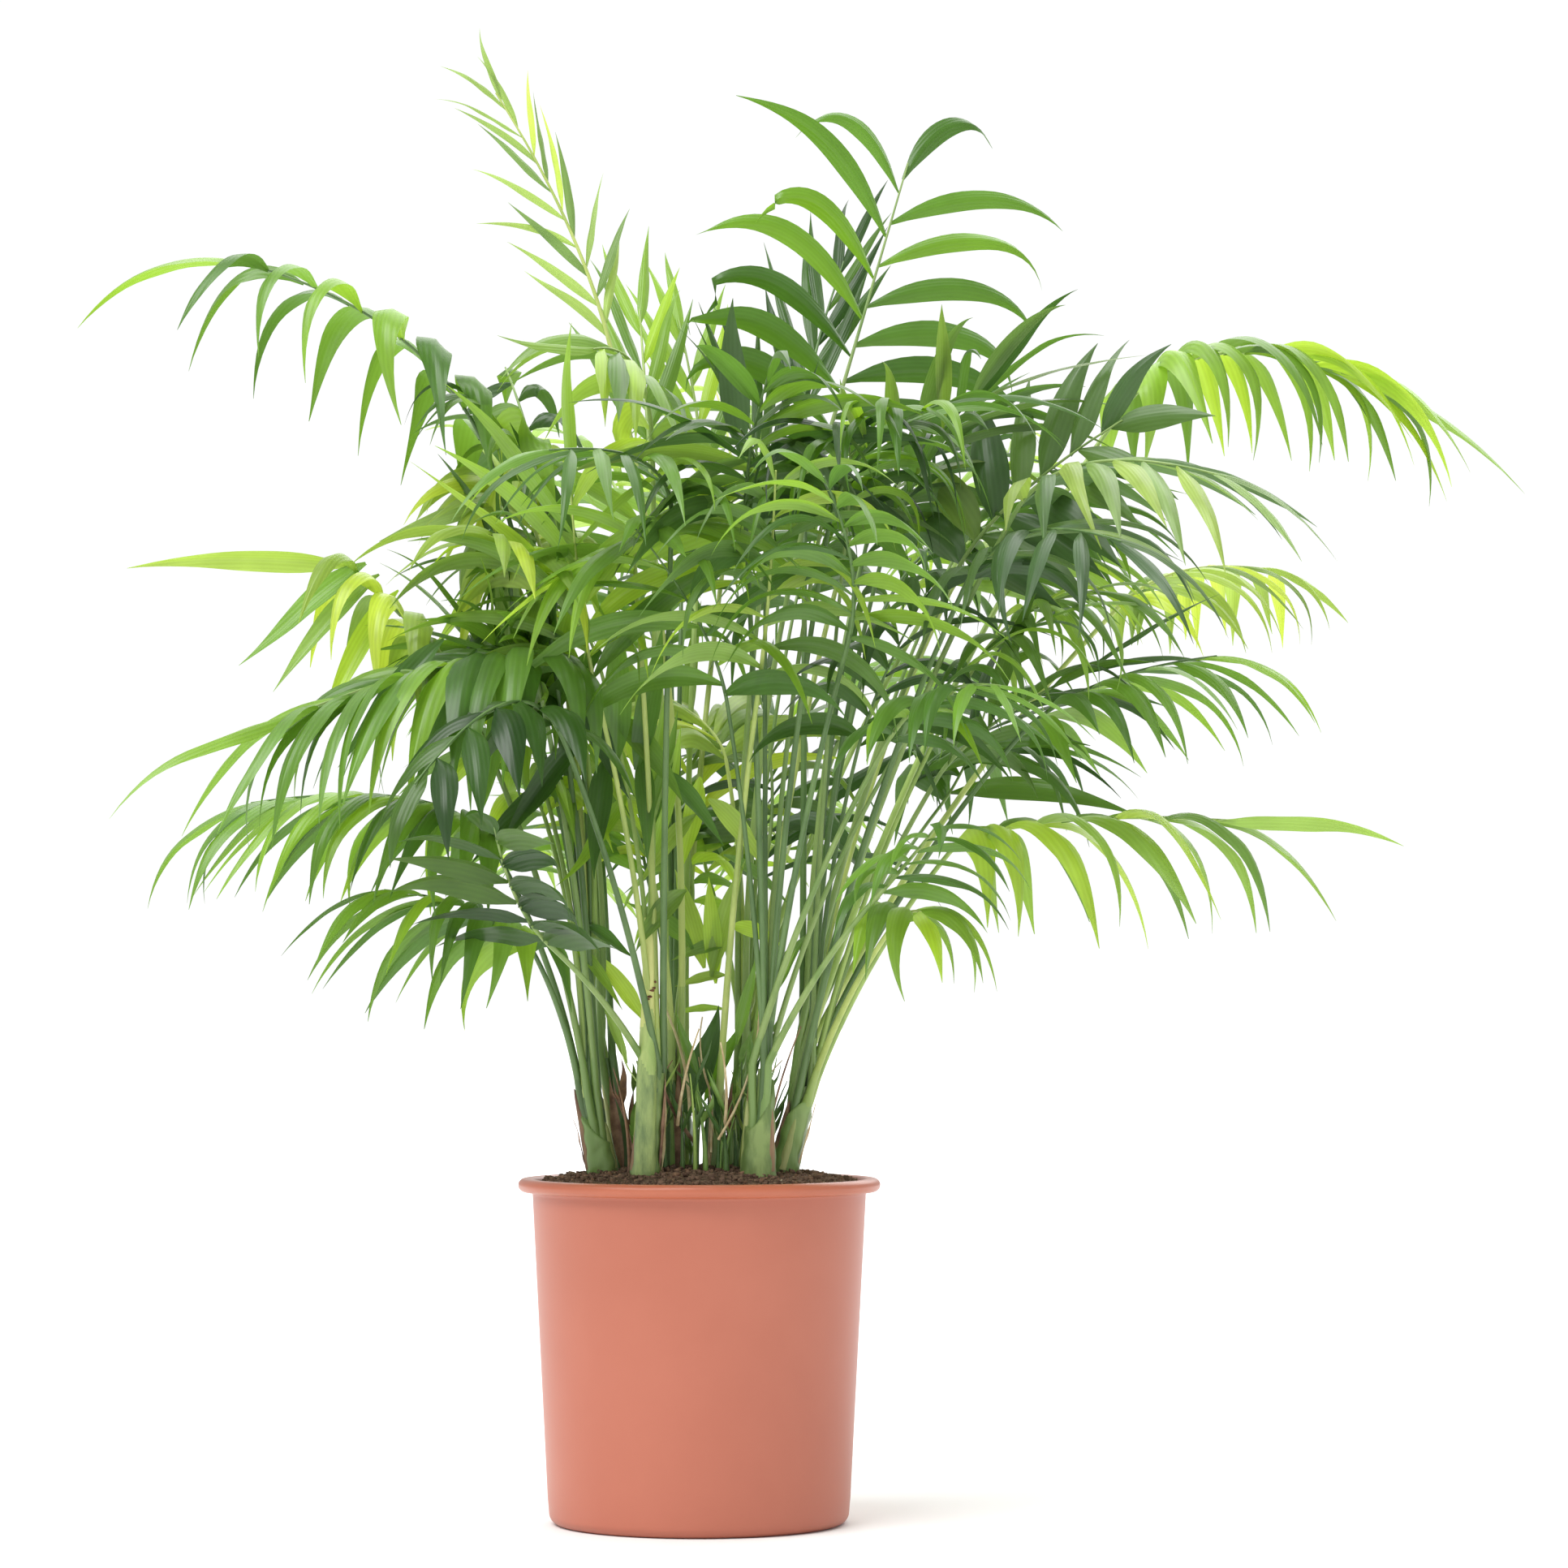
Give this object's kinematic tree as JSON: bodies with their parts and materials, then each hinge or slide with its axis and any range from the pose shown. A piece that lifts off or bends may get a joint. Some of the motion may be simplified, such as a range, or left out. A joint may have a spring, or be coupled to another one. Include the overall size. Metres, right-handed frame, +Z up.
{
  "type": "potted parlour palm",
  "caption": "Clump of slender canes in a tapered plastic nursery pot, with long-stalked feather fronds that rise, arch and droop on all sides.",
  "frame": {"origin": "middle of the pot's flat underside", "axes": "+Z up the plant, +X to the right and -Y towards the viewer as the plant is seen from the front"},
  "size_m": [0.7522, 0.6651, 0.7972],
  "materials": {
    "pot": "satin moulded plastic",
    "soil": "crumbly and dull",
    "cane": "smooth and slightly glossy",
    "dry_stalk": "dry and matt",
    "leaf_pale": "thin leaf, satin",
    "leaf_lime": "thin leaf, satin",
    "leaf_light": "thin leaf, satin",
    "leaf_mid": "thin leaf, satin",
    "leaf_dark": "thin leaf, satin"
  },
  "bodies": {
    "root": {"pot": "pot", "soil": "soil", "cane_left": "cane", "cane_left_back": "cane", "cane_front": "cane", "cane_middle": "cane", "cane_short": "cane", "cane_front_right": "cane", "cane_right": "cane", "cane_back": "cane", "cane_back_right": "cane", "cane_far_right": "cane", "cut_stalk": "dry_stalk", "frond_young_tall": "leaf_pale", "stalk_arch_top_left": "cane", "frond_arch_top_left": "leaf_mid", "frond_dark_top_left": "leaf_dark", "frond_pale_left": "leaf_lime", "frond_long_left": "leaf_light", "frond_lime_left": "leaf_lime", "stalk_comb_left": "cane", "frond_comb_left": "leaf_light", "stalk_low_left_fine": "cane", "frond_low_left_fine": "leaf_mid", "frond_low_left": "leaf_mid", "frond_dark_front": "leaf_dark", "stalk_dark_droop": "cane", "frond_dark_droop": "leaf_dark", "frond_spike_left": "leaf_lime", "frond_spike_back": "leaf_lime", "frond_broad_upright": "leaf_dark", "frond_front_left_high": "leaf_mid", "frond_front_right": "leaf_mid", "frond_front_centre": "leaf_light", "frond_broad_right": "leaf_dark", "stalk_backlit_right": "cane", "frond_backlit_right": "leaf_lime", "stalk_grey_right": "cane", "frond_grey_right": "leaf_dark", "frond_dark_right": "leaf_dark", "frond_lime_far_right": "leaf_lime", "stalk_mid_right": "cane", "frond_mid_right": "leaf_mid", "frond_mid_right_front": "leaf_mid", "stalk_low_right": "cane", "frond_low_right": "leaf_light", "frond_small_right": "leaf_light", "frond_star_back": "leaf_lime", "frond_back_right_high": "leaf_light", "frond_back_left_high": "leaf_light", "frond_back_centre": "leaf_light", "frond_back_left": "leaf_mid", "frond_back_right": "leaf_mid", "frond_inner_low": "leaf_lime", "frond_inner_broad": "leaf_lime", "frond_low_front_right": "leaf_mid", "frond_low_back_left": "leaf_light", "frond_low_back": "leaf_light", "frond_tall_right": "leaf_dark", "frond_tall_right_back": "leaf_dark"}
  },
  "joints": []
}
